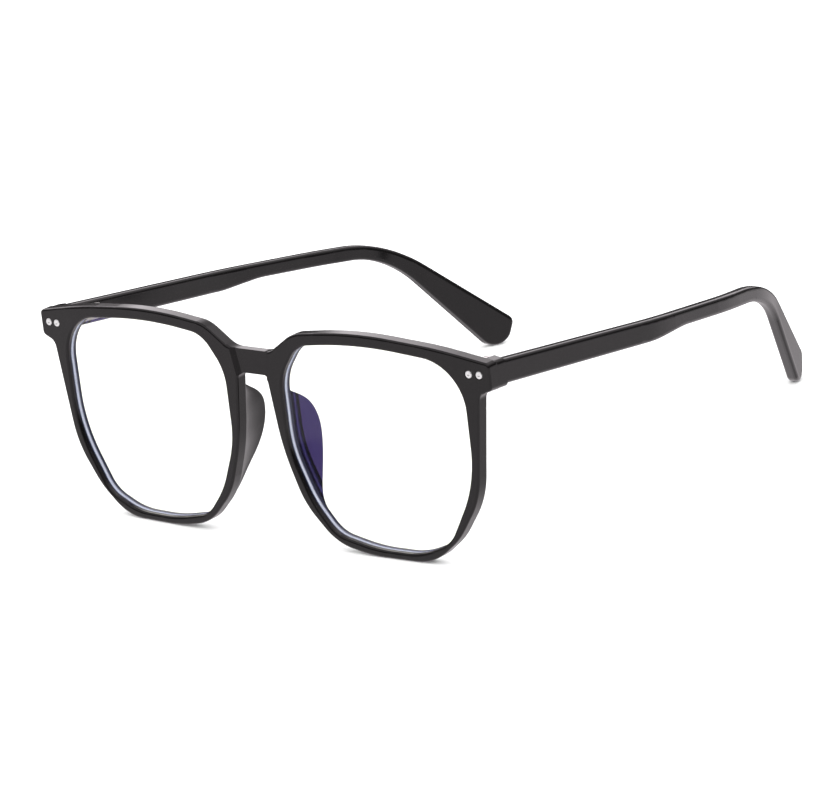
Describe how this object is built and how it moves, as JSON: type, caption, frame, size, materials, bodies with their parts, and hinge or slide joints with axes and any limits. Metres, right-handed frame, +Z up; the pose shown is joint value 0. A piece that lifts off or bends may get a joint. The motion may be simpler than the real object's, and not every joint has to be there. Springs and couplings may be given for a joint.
{
  "type": "blue light glasses",
  "caption": "Square full-rim spectacles with clear coated lenses, moulded nose pads and wire-cored temples that fold on riveted hinges.",
  "frame": {"origin": "bottom centre of the bounding box with the temples open, on the surface the glasses stand on", "axes": "+Z up, -Y the way the wearer looks, +Y back along the temples, +X the wearer's left"},
  "size_m": [0.1388, 0.1502, 0.0536],
  "materials": {
    "front_plastic": "polished black",
    "temple_plastic": "polished black",
    "coated_lens": "clear with a violet-blue coating",
    "hinge_steel": "satin",
    "screw_steel": "satin",
    "rivet_metal": "polished",
    "core_steel": "drawn wire"
  },
  "bodies": {
    "front": {"front_frame": "front_plastic", "front_hinge_leaf_left": "hinge_steel", "front_hinge_leaf_right": "hinge_steel", "front_rivet_inner_left": "rivet_metal", "front_rivet_inner_right": "rivet_metal", "front_rivet_outer_left": "rivet_metal", "front_rivet_outer_right": "rivet_metal", "hinge_screw_left": "screw_steel", "hinge_screw_right": "screw_steel", "lens_left": "coated_lens", "lens_right": "coated_lens", "nose_pad_left": "front_plastic", "nose_pad_right": "front_plastic"},
    "left_temple": {"temple_left": "temple_plastic", "temple_hinge_leaf_left": "hinge_steel", "temple_core_left": "core_steel", "temple_screw_front_left": "screw_steel", "temple_screw_rear_left": "screw_steel"},
    "right_temple": {"temple_right": "temple_plastic", "temple_hinge_leaf_right": "hinge_steel", "temple_core_right": "core_steel", "temple_screw_front_right": "screw_steel", "temple_screw_rear_right": "screw_steel"}
  },
  "joints": [
    {"name": "left_temple_fold", "type": "hinge", "parent": "front", "child": "left_temple", "pos_m": [0.0645, -0.0666, 0.04642], "axis": [0, 0, 1], "range_deg": [0, 82]},
    {"name": "right_temple_fold", "type": "hinge", "parent": "front", "child": "right_temple", "pos_m": [-0.0645, -0.0666, 0.04642], "axis": [0, 0, -1], "range_deg": [0, 70]}
  ]
}
